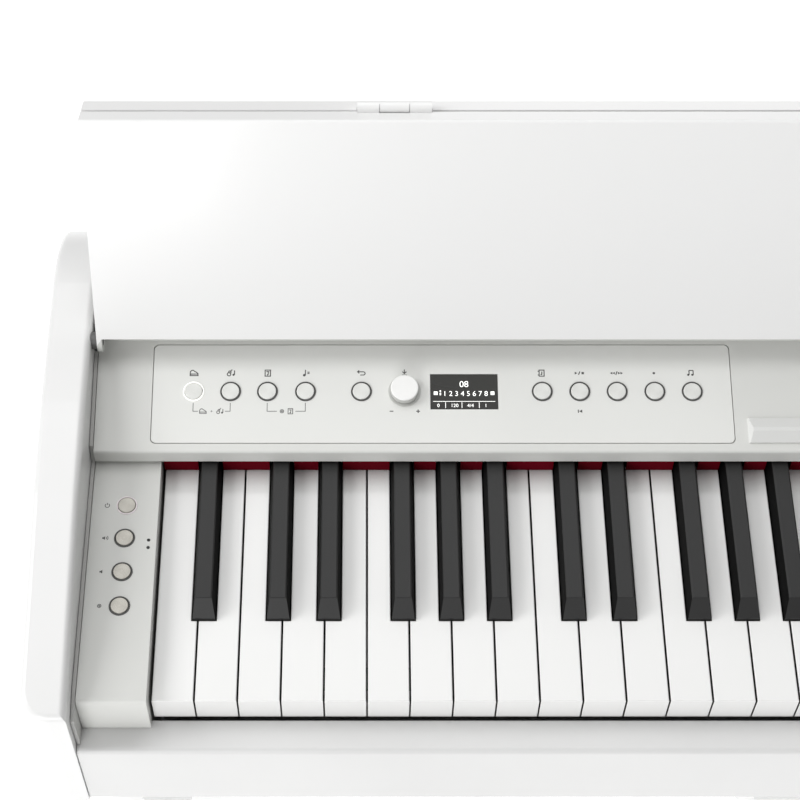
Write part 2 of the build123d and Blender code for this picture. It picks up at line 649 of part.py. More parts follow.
# ---- Jack box at the front left, socket box at the rear, both under the key bed ----
jack_x = -cheek_inner + 80
jack_z = cabinet_bottom_z - 15
jack_box = block(jack_x - 32, jack_x + 32, 8, 70, cabinet_bottom_z - 28, cabinet_bottom_z)
for x in (jack_x - 14, jack_x + 14):
    jack_box = jack_box - Pos(x, 8 + jack_depth / 2, jack_z) * Rot(90, 0, 0) * Cylinder(jack_radius, jack_depth)
socket_box = block(-60, 60, cabinet_rear_y - 70, cabinet_rear_y - 12, cabinet_bottom_z - 26, cabinet_bottom_z)
socket_y = cabinet_rear_y - 12 - jack_depth / 2
socket_box = socket_box - Pos(-36, socket_y, jack_z + 2) * Rot(90, 0, 0) * Cylinder(4.5, jack_depth)
socket_box = socket_box - Pos(0, socket_y, jack_z + 2) * Box(13, jack_depth, 11)
socket_box = socket_box - Pos(36, socket_y, jack_z + 2) * Box(13, jack_depth, 5)
parts["jack_boxes"] = group([jack_box, socket_box])

# ---- Stand: legs, foot boards, glides and the low back board ----
foot_bottom = floor_z + glide_height
foot_top = foot_bottom + foot_height
leg = rounded_plan(-arm_outer, -arm_inner, leg_front_y, cabinet_rear_y, foot_top, cabinet_bottom_z,
                   arm_front_radius, arm_rear_radius)
parts["left_leg"] = leg
parts["right_leg"] = mirror_x(leg)
foot = rounded_plan(-arm_outer, -arm_inner, cabinet_front_y, cabinet_rear_y, foot_bottom, foot_top,
                    arm_front_radius, arm_rear_radius)
foot = fillet(top_rim(foot, foot_bottom + 1), 3.0)
parts["foot_boards"] = group([foot, mirror_x(foot)])
back_board_rear_y = cabinet_rear_y - arm_rear_radius
back_board_bottom = floor_z + pedal_box_bottom
back_board = block(
    -arm_inner + side_gap, arm_inner - side_gap, back_board_rear_y - board_thickness, back_board_rear_y,
    back_board_bottom, back_board_bottom + back_board_height)
parts["stand_back_board"] = fillet(back_board.edges().filter_by(Axis.X), board_edge_radius)
arm_mid = (arm_inner + arm_outer) / 2
glides = []
for x in (-arm_mid, arm_mid):
    for y in (cabinet_front_y + 30, cabinet_rear_y - 40):
        glides.append(Pos(x, y, floor_z + glide_height / 2) * Cylinder(10, glide_height))

# ---- Pedal box with three pedals on one axle, and an adjuster that stands on the floor ----
box_rear_y = back_board_rear_y - board_thickness
box_z0 = floor_z + pedal_box_bottom
box_z1 = box_z0 + pedal_box_height
box_wall = 12.0
half_box = pedal_box_width / 2
axle_y = box_rear_y - 28
pedal_z = box_z0 + 34
box_shell = block(-half_box, half_box, pedal_box_front_y, box_rear_y, box_z0, box_z1)
box_shell = fillet(box_shell.edges().group_by(Axis.Y)[0].sort_by(Axis.Z)[-1], 6.0)
box_shell = box_shell - block(-half_box + box_wall, half_box - box_wall, pedal_box_front_y + box_wall,
                              box_rear_y + 5, box_z0 + box_wall, box_z1 - box_wall)
pedal_x = [-pedal_pitch, 0.0, pedal_pitch]
slot_half = pedal_width / 2 - 4
for x in pedal_x:
    box_shell = box_shell - block(x - slot_half, x + slot_half, pedal_box_front_y - 5,
                                  pedal_box_front_y + box_wall + 5, pedal_z - 18, pedal_z + 8)
axle = x_rod(pedal_axle_radius, -half_box + box_wall, half_box - box_wall, axle_y, pedal_z)
parts["pedal_box"] = group([box_shell, axle])


def make_pedal(x):
    """Cast lever: wide rounded toe in front, narrow neck through the slot, boss on the axle."""
    toe_y = pedal_box_front_y - pedal_length
    neck_half = slot_half - 1.5
    half = pedal_width / 2
    outline = [(neck_half, axle_y), (neck_half, pedal_box_front_y - 12), (half, pedal_box_front_y - 40),
               (half, toe_y + half)]
    right = Polyline(*outline)
    left = Polyline(*[(-px, py) for px, py in outline])
    toe = ThreePointArc((half, toe_y + half), (0, toe_y), (-half, toe_y + half))
    face = make_face(right + left + toe + Line((neck_half, axle_y), (-neck_half, axle_y)))
    lever = Pos(x, 0, pedal_z - pedal_thickness / 2) * extrude(face, amount=pedal_thickness)
    lever = fillet(lever.edges().filter_by(Plane.XY).group_by(Axis.Z)[-1], 1.5)
    lever = lever + x_rod(9, x - neck_half, x + neck_half, axle_y, pedal_z)
    return lever - x_rod(pedal_axle_radius + running_fit, x - 30, x + 30, axle_y, pedal_z)


for name, x in zip(("left_pedal", "centre_pedal", "right_pedal"), pedal_x):
    parts[name] = make_pedal(x)
adjuster_y = (pedal_box_front_y + box_rear_y) / 2
adjuster = Pos(0, adjuster_y, floor_z + 3) * Cylinder(19, 6)
adjuster = adjuster + Pos(0, adjuster_y, floor_z + pedal_box_bottom / 2) * Cylinder(6, pedal_box_bottom)
parts["floor_glides"] = group(glides + [adjuster])

# ---- Move to the floor frame and write one file per node ----
to_floor = Pos(0, -overall_depth / 2 - cabinet_front_y, key_top_height)
os.makedirs("parts", exist_ok=True)
for name, shape in parts.items():
    export_step(to_floor * shape, "parts/" + name + ".step")
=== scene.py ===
import math

import bmesh
import bpy
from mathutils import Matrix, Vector


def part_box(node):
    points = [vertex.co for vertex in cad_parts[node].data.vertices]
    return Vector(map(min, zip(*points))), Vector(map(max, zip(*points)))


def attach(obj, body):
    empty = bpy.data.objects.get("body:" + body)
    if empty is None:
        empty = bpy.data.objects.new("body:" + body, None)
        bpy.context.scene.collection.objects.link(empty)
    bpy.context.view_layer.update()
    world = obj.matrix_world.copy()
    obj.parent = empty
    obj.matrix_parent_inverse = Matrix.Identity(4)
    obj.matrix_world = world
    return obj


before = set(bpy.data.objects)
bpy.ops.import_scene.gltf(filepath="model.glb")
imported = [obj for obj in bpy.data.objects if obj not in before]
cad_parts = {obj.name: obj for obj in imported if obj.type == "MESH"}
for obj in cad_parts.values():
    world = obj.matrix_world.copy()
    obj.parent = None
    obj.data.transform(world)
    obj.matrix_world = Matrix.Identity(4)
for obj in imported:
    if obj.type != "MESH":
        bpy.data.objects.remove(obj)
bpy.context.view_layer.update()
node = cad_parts
MM = 0.001

# ---- Camera ----
# It looks down on the left end of the keyboard from above the player's head, square to the
# keys. A small lens shift brings the left arm into view without turning the camera.
camera_data = bpy.data.cameras.new("camera")
camera_data.sensor_width = 36.0
camera_data.lens = 89.55
camera_data.shift_x = 0.04125
camera_data.shift_y = 0.0325
camera = bpy.data.objects.new("camera", camera_data)
camera.location = (-0.495, -0.6096, 1.7162)
camera.rotation_euler = (math.radians(32.7), 0, 0)
bpy.context.scene.collection.objects.link(camera)
bpy.context.scene.camera = camera


# ---- Studio: pale floor, white surroundings and soft lights ----
# The piano stands on a bright floor in a white room. A broad light hangs overhead, a little
# behind the lid; one stands at the left, one in front, and a low one behind the piano.
def place(name, mesh, body=None):
    """New object for a piece, riding on a body when one is given."""
    thing = bpy.data.objects.new(name, mesh)
    bpy.context.scene.collection.objects.link(thing)
    if body:
        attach(thing, body)
    return thing


def mesh_from(name, build):
    """Mesh that a function draws into an empty bmesh."""
    shape = bmesh.new()
    build(shape)
    mesh = bpy.data.meshes.new(name)
    shape.to_mesh(mesh)
    shape.free()
    return mesh


def finish(name, colour, roughness, metallic=0.0, coat=0.0, coat_roughness=0.08, specular=0.5):
    """Material whose plain constants sit on the shader's own sockets."""
    made = bpy.data.materials.new(name)
    made.use_nodes = True
    shader = made.node_tree.nodes["Principled BSDF"]
    shader.inputs["Base Color"].default_value = (*colour, 1.0)
    shader.inputs["Roughness"].default_value = roughness
    shader.inputs["Metallic"].default_value = metallic
    shader.inputs["Coat Weight"].default_value = coat
    shader.inputs["Coat Roughness"].default_value = coat_roughness
    shader.inputs["Specular IOR Level"].default_value = specular
    return made


def draw_floor(shape):
    """Floor that reaches far beyond the piano on all sides."""
    bmesh.ops.create_grid(shape, x_segments=8, y_segments=8, size=9.0)


floor = place("floor", mesh_from("floor", draw_floor))
studio_floor = finish("studio_floor", (0.93, 0.93, 0.93), 0.85)
floor_shader = studio_floor.node_tree.nodes["Principled BSDF"]
floor_shader.inputs["Emission Color"].default_value = (1.0, 1.0, 1.0, 1.0)
floor_shader.inputs["Emission Strength"].default_value = 0.45
floor.data.materials.append(studio_floor)

world = bpy.data.worlds.new("white_room")
world.use_nodes = True
background = world.node_tree.nodes["Background"]
background.inputs["Color"].default_value = (1.0, 1.0, 1.0, 1.0)
background.inputs["Strength"].default_value = 0.26
bpy.context.scene.world = world
bpy.context.scene.view_settings.view_transform = "Standard"


def soft_light(name, place_at, aim_at, size, power):
    """Square area light turned towards a point."""
    lamp = bpy.data.lights.new(name, "AREA")
    lamp.shape = "SQUARE"
    lamp.size = size
    lamp.energy = power
    holder = bpy.data.objects.new(name, lamp)
    holder.location = place_at
    holder.rotation_euler = (Vector(aim_at) - Vector(place_at)).to_track_quat("-Z", "Y").to_euler()
    bpy.context.scene.collection.objects.link(holder)


soft_light("overhead", (-0.6, 0.72, 3.1), (-0.45, 0.0, 0.75), size=2.0, power=25.0)
soft_light("left", (-2.4, 0.0, 2.3), (-0.45, 0.0, 0.75), size=1.3, power=28.0)
soft_light("front", (-1.6, -3.2, 1.5), (-0.4, 0.1, 0.8), size=1.7, power=56.0)
soft_light("low_rear", (0.6, 3.0, 1.2), (0.0, 0.1, 0.7), size=2.2, power=14.0)


# ---- White boards: arms, stand, top board, rear panel, key bed, pedal box and key slip ----
# Medium-density fibreboard with a sprayed satin white lacquer that has a faint orange-peel
# skin. Arms and legs and the flat boards each have a slightly different white; the key slip's
# white is painted down to a grey as shade.
def new_group(name, inputs, outputs):
    """Shader node group with named sockets; returns it with its input and output nodes."""
    tree = bpy.data.node_groups.new(name, "ShaderNodeTree")
    kinds = {"f": "NodeSocketFloat", "v": "NodeSocketVector"}
    for label, kind, value in inputs:
        socket = tree.interface.new_socket(label, in_out="INPUT", socket_type=kinds[kind])
        socket.default_value = value
    for label, kind in outputs:
        tree.interface.new_socket(label, in_out="OUTPUT", socket_type=kinds[kind])
    return tree, tree.nodes.new("NodeGroupInput"), tree.nodes.new("NodeGroupOutput")


def add(tree, kind, **settings):
    """Node with its properties set, and its sockets set or linked by name or number."""
    made = tree.nodes.new(kind)
    sockets = settings.pop("sockets", {})
    for label, value in settings.items():
        setattr(made, label, value)
    for label, value in sockets.items():
        if isinstance(value, bpy.types.NodeSocket):
            tree.links.new(value, made.inputs[label])
        else:
            made.inputs[label].default_value = value
    return made


grain, grain_in, grain_out = new_group(
    "fine_grain", [("Scale", "f", 1000.0), ("Stretch", "v", (1, 1, 1))],
    [("Height", "f"), ("Blotch", "f")])
grain_place = add(grain, "ShaderNodeTexCoord")
grain_stretch = add(grain, "ShaderNodeVectorMath", operation="MULTIPLY",
                    sockets={0: grain_place.outputs["Object"], 1: grain_in.outputs["Stretch"]})
grain_noise = add(grain, "ShaderNodeTexNoise", sockets={
    "Vector": grain_stretch.outputs[0], "Scale": grain_in.outputs["Scale"], "Detail": 3.0,
    "Roughness": 0.55})
grain_broad = add(grain, "ShaderNodeTexNoise", sockets={
    "Vector": grain_place.outputs["Object"], "Scale": 9.0, "Detail": 2.0, "Roughness": 0.45})
grain_levels = add(grain, "ShaderNodeMapRange", sockets={
    "Value": grain_broad.outputs["Fac"], "From Min": 0.2, "From Max": 0.8})
grain.links.new(grain_noise.outputs["Fac"], grain_out.inputs["Height"])
grain.links.new(grain_levels.outputs[0], grain_out.inputs["Blotch"])


def use_group(made, tree, **values):
    """The group placed in a material, with its own values."""
    placed = made.node_tree.nodes.new("ShaderNodeGroup")
    placed.node_tree = tree
    for label, value in values.items():
        placed.inputs[label].default_value = value
    return placed


def raise_bump(made, height, strength, depth):
    """Fine relief: a height drives the shader's normal."""
    tree = made.node_tree
    relief = add(tree, "ShaderNodeBump", sockets={
        "Strength": strength, "Distance": depth, "Height": height})
    tree.links.new(relief.outputs["Normal"], tree.nodes["Principled BSDF"].inputs["Normal"])


def spread(made, mask, socket, low, high):
    """A mask moves one of the shader's numbers between two values."""
    tree = made.node_tree
    levels = add(tree, "ShaderNodeMapRange", sockets={"Value": mask, "To Min": low, "To Max": high})
    tree.links.new(levels.outputs[0], tree.nodes["Principled BSDF"].inputs[socket])


def blend(tree, mask, first, second):
    """Two colours mixed by a mask; the mix node's colour sockets go by number."""
    mix = add(tree, "ShaderNodeMix", data_type="RGBA",
              sockets={0: mask, 6: (*first, 1.0), 7: (*second, 1.0)})
    return mix.outputs[2]


def tint(made, mask, first, second):
    """A mask moves the surface between two colours."""
    tree = made.node_tree
    colour = blend(tree, mask, first, second)
    tree.links.new(colour, tree.nodes["Principled BSDF"].inputs["Base Color"])


def grained(name, colours, roughness, scale, relief, stretch=(1, 1, 1), **constants):
    """Finish with a fine grain, and colour and gloss that drift a little over the surface.

    The scale is about the number of grains per metre, and the relief their height in metres.
    """
    made = finish(name, colours[0], roughness[0], **constants)
    skin = use_group(made, grain, Scale=scale, Stretch=stretch)
    tint(made, skin.outputs["Blotch"], *colours)
    spread(made, skin.outputs["Blotch"], "Roughness", *roughness)
    raise_bump(made, skin.outputs["Height"], strength=0.35, depth=relief)
    return made


def dress(names, made):
    """Give CAD nodes a material."""
    for name in names:
        slots = node[name].data.materials
        slots.clear()
        slots.append(made)


white_lacquer = grained("white_lacquer", ((0.90, 0.90, 0.895), (0.885, 0.885, 0.88)),
                        roughness=(0.30, 0.36), scale=420.0, relief=0.00004, coat=0.25,
                        coat_roughness=0.16)
arm_lacquer = grained("arm_lacquer", ((0.82, 0.82, 0.815), (0.80, 0.80, 0.795)),
                      roughness=(0.28, 0.34), scale=420.0, relief=0.00004, coat=0.3,
                      coat_roughness=0.14)
dress(["left_arm", "right_arm", "left_leg", "right_leg", "foot_boards"], arm_lacquer)
dress(["top_board", "rear_panel", "key_bed", "stand_back_board", "pedal_box"], white_lacquer)
# The key slip is white lacquer whose colour is painted a darker grey: painted shade.
slip_lacquer_painted_shade = grained("slip_lacquer_painted_shade", ((0.74, 0.74, 0.735), (0.70, 0.70, 0.695)),
                       roughness=(0.34, 0.42), scale=420.0, relief=0.00004, coat=0.15,
                       coat_roughness=0.2)
dress(["key_slip"], slip_lacquer_painted_shade)

# ---- Lid: leaf and flap ----
# Two thin boards in a white lacquer, rubbed to a little more gloss. The leaf turns on two bushed
# pins in the arms, painted near black as the shade in the slit beside the lid; the flap folds
# behind it on knuckles with steel pins.
lid_lacquer = grained("lid_lacquer", ((0.905, 0.905, 0.90), (0.90, 0.90, 0.895)),
                      roughness=(0.27, 0.31), scale=300.0, relief=0.00003, coat=0.4,
                      coat_roughness=0.12)
dress(["lid_leaf", "lid_flap"], lid_lacquer)
pin_steel = grained("pin_steel", ((0.56, 0.56, 0.57), (0.48, 0.48, 0.49)),
                    roughness=(0.22, 0.38), scale=900.0, relief=0.00002, stretch=(0.1, 1, 1),
                    metallic=1.0)
dress(["key_pivot_rod", "dial_shaft"], pin_steel)
# The lid's pivot pins are painted near black: painted shade, so they merge with the dark slit
# between lid and arm.
pin_bush_painted_shade = grained("pin_bush_painted_shade", ((0.10, 0.10, 0.10), (0.14, 0.14, 0.14)),
                   roughness=(0.45, 0.55), scale=1400.0, relief=0.00003)
dress(["lid_pivot_pins"], pin_bush_painted_shade)

# The steel pins show in the knuckles, and the painted end plates below the leaf carry it.
PIN_STEEL, PLATE_PAINT = 1, 2
hinge_paint = grained("hinge_paint", ((0.69, 0.695, 0.67), (0.67, 0.675, 0.65)),
                      roughness=(0.4, 0.5), scale=900.0, relief=0.00003)
leaf_mesh = node["lid_leaf"].data
leaf_mesh.materials.append(pin_steel)
leaf_mesh.materials.append(hinge_paint)
pivot_low, pivot_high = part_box("lid_pivot_pins")
pivot = (pivot_low + pivot_high) / 2
lean = math.radians(24.4)
along_leaf = Vector((0, math.sin(lean), math.cos(lean)))
out_of_leaf = Vector((0, math.cos(lean), -math.sin(lean)))
fold_along, fold_out, fold_reach = 143.0 * MM, 7.0 * MM, 1.55 * MM
plate_reach = 4.3 * MM
fold_point = pivot + along_leaf * fold_along + out_of_leaf * fold_out
for face in leaf_mesh.polygons:
    from_fold = face.center - fold_point
    if Vector((0, from_fold.y, from_fold.z)).length < fold_reach:
        face.material_index = PIN_STEEL
    elif (face.center - pivot).dot(along_leaf) < plate_reach:
        face.material_index = PLATE_PAINT

# ---- Fascia, cheek blocks and score ledge ----
# Injection-moulded panels in warm silver grey with a very fine spark-eroded grain. They are
# clipped down between the arms; the ledge is bonded on to hold the score.
panel_grey = grained("panel_grey", ((0.69, 0.695, 0.67), (0.67, 0.675, 0.65)),
                     roughness=(0.38, 0.46), scale=2600.0, relief=0.00003)
dress(["fascia", "cheek_blocks"], panel_grey)
ledge_grey = grained("ledge_grey", ((0.72, 0.725, 0.71), (0.70, 0.705, 0.69)),
                     roughness=(0.34, 0.42), scale=2600.0, relief=0.00003)
dress(["score_ledge"], ledge_grey)
# The liners along the arms' inner walls are coloured mid grey: painted shade on walls turned from
# the light.
liner_grey = grained("liner_grey", ((0.50, 0.50, 0.485), (0.46, 0.46, 0.447)),
                     roughness=(0.5, 0.6), scale=1800.0, relief=0.00004)
dress(["side_liners"], liner_grey)

# ---- Control plate ----
# A thin plate let into the fascia, with a hairline joint all round. It is pale grey with a
# finer skin than the fascia, and carries the printed marks.
plate_grey = grained("plate_grey", ((0.76, 0.765, 0.74), (0.74, 0.745, 0.72)),
                     roughness=(0.32, 0.40), scale=3400.0, relief=0.00002)
dress(["control_plate"], plate_grey)

plate_low, plate_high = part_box("control_plate")
panel_tilt = math.radians(10.9)
plate_depth = 61.4 * MM
up_slope = Vector((0, math.cos(panel_tilt), math.sin(panel_tilt)))
off_panel = Vector((0, -math.sin(panel_tilt), math.cos(panel_tilt)))
plate_corner = Vector((plate_low.x, plate_low.y, plate_high.z - plate_depth * math.sin(panel_tilt)))


def on_plate(across, along, height):
    """World point from millimetres across and up the control plate, and above its face."""
    in_plane = Vector((across * MM, 0, 0)) + up_slope * (along * MM)
    return plate_corner + in_plane + off_panel * (height * MM)


# ---- Printed marks, and the cheek's two lamps ----
# Dark grey ink, screen printed: plain pictograms over the buttons, brackets under pairs of
# buttons, and signs round the dial and beside the cheek buttons. Two small dark lamps stand
# beside the volume buttons. Lengths here are millimetres.
PRINT_HEIGHT = 0.03
MARK_SIZE = 1.2
INK_WIDTH = 0.5
BRACKET_WIDTH = 0.36
FINE_WIDTH = 0.4


def ring_path(x, y, radius, start=0.0, sweep=360.0, steps=20):
    """Points on an arc, in degrees."""
    angles = [math.radians(start + sweep * i / steps) for i in range(steps + 1)]
    return [(x + radius * math.cos(a), y + radius * math.sin(a)) for a in angles]


def ink_line(shape, path, to_world, width=INK_WIDTH):
    """Flat line of ink with mitred corners along a path in millimetres."""
    closed = (Vector(path[0]) - Vector(path[-1])).length < 1e-6
    points = [Vector(p) for p in (path[:-1] if closed else path)]
    count = len(points)
    sides = []
    for i, point in enumerate(points):
        runs = []
        if i or closed:
            runs.append((point - points[i - 1]).normalized())
        if i < count - 1 or closed:
            runs.append((points[(i + 1) % count] - point).normalized())
        normals = [Vector((-run.y, run.x)) for run in runs]
        mid = sum(normals, Vector((0, 0))).normalized()
        mitre = max(0.4, mid.dot(normals[0]))
        reach = width / 2 / mitre
        sides.append([shape.verts.new(to_world(*(point + mid * side * reach))) for side in (1, -1)])
    for i in range(count if closed else count - 1):
        a, b = sides[i], sides[(i + 1) % count]
        shape.faces.new((a[0], a[1], b[1], b[0]))


def ink_patch(shape, outline, to_world):
    """Filled patch of ink."""
    shape.faces.new([shape.verts.new(to_world(x, y)) for x, y in outline])


def quaver(x, y, size):
    """Note: a round head with its stem."""
    head = ring_path(x, y, 0.62 * size, steps=12)
    return [("patch", head[:-1]), ("line", [(x + 0.5 * size, y), (x + 0.5 * size, y + 2.6 * size)])]


def triangle(x, y, size, way):
    """Filled triangle that points along way, 1 or -1."""
    return ("patch", [(x - way * size * 0.45, y - size * 0.55), (x + way * size * 0.55, y),
                      (x - way * size * 0.45, y + size * 0.55)])


square = ("patch", [(1.2, -0.6), (2.4, -0.6), (2.4, 0.6), (1.2, 0.6)])
slash = ("line", [(-0.25, -0.9), (0.45, 0.9)])
marks = {
    "grand": [("line", [(-1.9, -1.3), (-1.9, 0.7), (-1.3, 1.4), (-0.5, 1.5), (0.2, 0.9), (1.0, 0.5),
                        (1.8, -0.2), (1.9, -1.3), (-1.9, -1.3)]),
              ("line", [(-1.9, -0.5), (1.8, -0.5)])],
    "strings": [("line", ring_path(-1.0, -0.6, 0.85)), ("line", ring_path(-0.6, 0.6, 0.55)),
                ("line", [(-0.3, 0.9), (0.5, 1.9)])] + quaver(1.2, -0.9, 0.9),
    "score": [("line", [(-1.3, -1.6), (-1.3, 1.6), (1.3, 1.6), (1.3, -1.6), (-1.3, -1.6)]),
              ("line", [(-0.7, 0.8), (0.7, 0.8)])] + quaver(-0.1, -0.9, 0.6),
    "beat": quaver(-0.7, -1.1, 1.1) + [("line", [(0.8, -0.2), (1.9, -0.2)]),
                                       ("line", [(0.8, 0.5), (1.9, 0.5)])],
    "back": [("line", [(-1.9, 0.7), (0.9, 0.7)] + ring_path(0.9, -0.15, 0.85, 90, -180, 8)[1:]
              + [(-0.6, -1.0)]),
             ("line", [(-1.1, 1.5), (-1.9, 0.7), (-1.1, -0.1)])],
    "list": [("line", [(-1.2, -1.6), (-1.2, 1.6), (1.2, 1.6), (1.2, -1.6), (-1.2, -1.6)]),
             ("line", [(-1.9, 1.0), (-1.2, 1.0)]),
             ("line", [(-1.9, -1.0), (-1.2, -1.0)])] + quaver(-0.2, -0.7, 0.6),
    "play": [triangle(-1.5, 0, 1.3, 1), slash, square],
    "wind": [triangle(-2.4, 0, 1.2, -1), triangle(-1.2, 0, 1.2, -1), slash,
             triangle(1.4, 0, 1.2, 1), triangle(2.6, 0, 1.2, 1)],
    "record": [("patch", ring_path(0, 0, 0.62, steps=14)[:-1])],
    "pair": quaver(-1.4, -0.9, 0.9) + [("line", [(-0.95, 1.4), (1.05, 1.4)])]
            + quaver(0.6, -0.9, 0.9),
    "press": [("line", [(0, 1.9), (0, -0.2)]), ("line", [(-1.0, 0.8), (0, -0.2), (1.0, 0.8)]),
              ("line", [(-1.2, -1.0), (1.2, -1.0)])],
    "start": [("line", [(-1.1, -0.8), (-1.1, 0.8)]), triangle(0.1, 0, 1.5, -1)],
    "minus": [("line", [(-0.9, 0), (0.9, 0)])],
    "plus": [("line", [(-0.9, 0), (0.9, 0)]), ("line", [(0, -0.9), (0, 0.9)])],
    "gear": [("line", ring_path(0, 0, 1.0)), ("line", ring_path(0, 0, 0.35, steps=10))],
    "power": [("line", ring_path(0, 0, 1.25, 125, 290)), ("line", [(0, 0.4), (0, 1.7)])],
    "quiet": [("patch", [(-1.4, -0.5), (-0.7, -0.5), (0.2, -1.2), (0.2, 1.2), (-0.7, 0.5),
                         (-1.4, 0.5)])],
}
marks["loud"] = marks["quiet"] + [("line", ring_path(0.2, 0, r, -48, 96, 8)) for r in (0.9, 1.7)]


def print_mark(shape, strokes, to_world, width=INK_WIDTH):
    """All strokes of one pictogram."""
    for kind, path in strokes:
        if kind == "line":
            ink_line(shape, path, to_world, width)
        else:
            ink_patch(shape, path, to_world)


# Button centres across the plate from its left edge, and rows up the plate from its front.
button_across = [23.6, 45.1, 66.5, 88.6, 121.1, 226.1, 247.9, 269.6, 291.5, 313.2]
button_marks = ["grand", "strings", "score", "beat", "back",
                "list", "play", "wind", "record", "pair"]
dial_across = 146.1
button_along = 32.0
mark_along = button_along + 11.6
under_along = button_along - 12.4
bracket_along = button_along - 7.2


def plate_spot(across, along, scale):
    """Turns a pictogram's own millimetres into world points round one spot of the plate."""
    return lambda x, y: on_plate(across + x * scale, along + y * scale, PRINT_HEIGHT)


def draw_bracket(shape, first, second, middle):
    """Bracket under two buttons, with small signs in the gap of its lower bar."""
    left, right = button_across[first], button_across[second]
    centre = (left + right) / 2
    step = 4.9
    reach = (len(middle) - 1) * step / 2 + 2.9
    on_face = plate_spot(0, 0, 1)
    for end, gap in ((left, centre - reach), (right, centre + reach)):
        ink_line(shape, [(end, bracket_along), (end, under_along), (gap, under_along)], on_face,
                 BRACKET_WIDTH)
    for i, mark in enumerate(middle):
        across = centre + (i - (len(middle) - 1) / 2) * step
        size = (0.55 if mark == "plus" else 0.85) * MARK_SIZE
        print_mark(shape, marks[mark], plate_spot(across, under_along, size), FINE_WIDTH)


def draw_panel_print(shape):
    """Everything printed on the control plate."""
    spots = [(across, mark_along, mark) for across, mark in zip(button_across, button_marks)]
    spots += [(dial_across, mark_along, "press"), (dial_across - 7.6, under_along, "minus"),
              (dial_across + 7.8, under_along, "plus"), (button_across[6], under_along, "start")]
    for across, along, mark in spots:
        print_mark(shape, marks[mark], plate_spot(across, along, MARK_SIZE))
    draw_bracket(shape, 0, 1, ["grand", "plus", "strings"])
    draw_bracket(shape, 2, 3, ["gear", "score"])


ink = grained("print_ink", ((0.05, 0.05, 0.048), (0.075, 0.075, 0.072)),
              roughness=(0.45, 0.6), scale=3000.0, relief=0.00001)
panel_ink = mesh_from("panel_print", draw_panel_print)
panel_print = place("panel_print", panel_ink, "cabinet")
panel_print.data.materials.append(ink)

# The cheek's caps stand 0.9 mm above its flat face; each sign sits to the left of its cap.
cheek_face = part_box("power_button")[1].z - 0.9 * MM
cheek_mark_offset = 11.2 * MM


def middle_of(name):
    """Centre of a CAD node's box."""
    low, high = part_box(name)
    return (low + high) / 2


def draw_cheek_print(shape):
    """The signs beside the four cheek buttons."""
    beside = [("power_button", "power"), ("cheek_button_3", "loud"), ("cheek_button_2", "quiet"),
              ("cheek_button_1", "gear")]
    for name, mark in beside:
        centre = middle_of(name)
        centre.x -= cheek_mark_offset
        centre.z = cheek_face + PRINT_HEIGHT * MM

        def on_cheek(x, y, spot=centre):
            return spot + Vector((x * MM, y * MM, 0))

        print_mark(shape, marks[mark], on_cheek, FINE_WIDTH)


def turned_piece(shape, profile, at, axis, steps=20):
    """Revolved profile of (radius, height) pairs in millimetres, its axis along a vector."""
    turn = Vector((0, 0, 1)).rotation_difference(Vector(axis)).to_matrix()
    rings = []
    for radius, height in profile:
        angles = [2 * math.pi * i / steps for i in range(steps)] if radius else [0.0]
        corners = [Vector((radius * math.cos(a), radius * math.sin(a), height)) for a in angles]
        rings.append([shape.verts.new(Vector(at) + turn @ (corner * MM)) for corner in corners])
    for low, high in zip(rings, rings[1:]):
        for i in range(steps):
            loop = [low[i % len(low)], low[(i + 1) % len(low)],
                    high[(i + 1) % len(high)], high[i % len(high)]]
            loop = [v for k, v in enumerate(loop) if v not in loop[:k]]
            if len(loop) > 2:
                shape.faces.new(loop)


def piece(name, build, body, made):
    """Extra piece: drawn into a mesh, shaded smooth, riding on a body."""
    thing = place(name, mesh_from(name, build), body)
    thing.data.materials.append(made)
    thing.data.shade_smooth()
    thing.data.set_sharp_from_angle(angle=math.radians(38))


def draw_lamps(shape):
    """Two small dark indicator lamps, one beside each volume button, domed like rivets."""
    lamp_dome = [(1.0, -0.4), (1.0, 0.05), (0.8, 0.2), (0.0, 0.28)]
    lamp_x = -618.42 * MM
    for lamp_y in (-61.1 * MM, -56.3 * MM):
        turned_piece(shape, lamp_dome, (lamp_x, lamp_y, cheek_face), (0, 0, 1), steps=16)


lamp_black = grained("lamp_black", ((0.004, 0.004, 0.004), (0.008, 0.008, 0.008)),
                     roughness=(0.3, 0.4), scale=1500.0, relief=0.00001)
piece("cheek_lamps", draw_lamps, "cabinet", lamp_black)
cheek_ink = mesh_from("cheek_print", draw_cheek_print)
cheek_print = place("cheek_print", cheek_ink, "cabinet")
cheek_print.data.materials.append(ink)

# ---- Display ----
# A dark window set a hair below the plate's face. Its lit figures are a large number, a row
# of numbers between two end blocks, and a status row divided by thin lines.
window_glass = grained("window_glass", ((0.028, 0.028, 0.026), (0.034, 0.034, 0.031)),
                       roughness=(0.22, 0.30), scale=600.0, relief=0.00001, specular=0.2)
dress(["display_window"], window_glass)
screen_centre = (180.7, 31.9)


def lit(name, colour, strength):
    """Lit print or lamp, with a slight unevenness."""
    made = finish(name, colour, 0.5)
    shader = made.node_tree.nodes["Principled BSDF"]
    shader.inputs["Emission Strength"].default_value = strength
    skin = use_group(made, grain, Scale=900.0)
    dimmer = [0.86 * part for part in colour]
    glow = blend(made.node_tree, skin.outputs["Height"], dimmer, colour)
    made.node_tree.links.new(glow, shader.inputs["Emission Color"])
    return made


def on_screen(x, y):
    """World point from millimetres across and up the window, which is sunk in the plate."""
    window_sink = 0.2
    return on_plate(screen_centre[0] + x, screen_centre[1] + y, -window_sink + PRINT_HEIGHT)


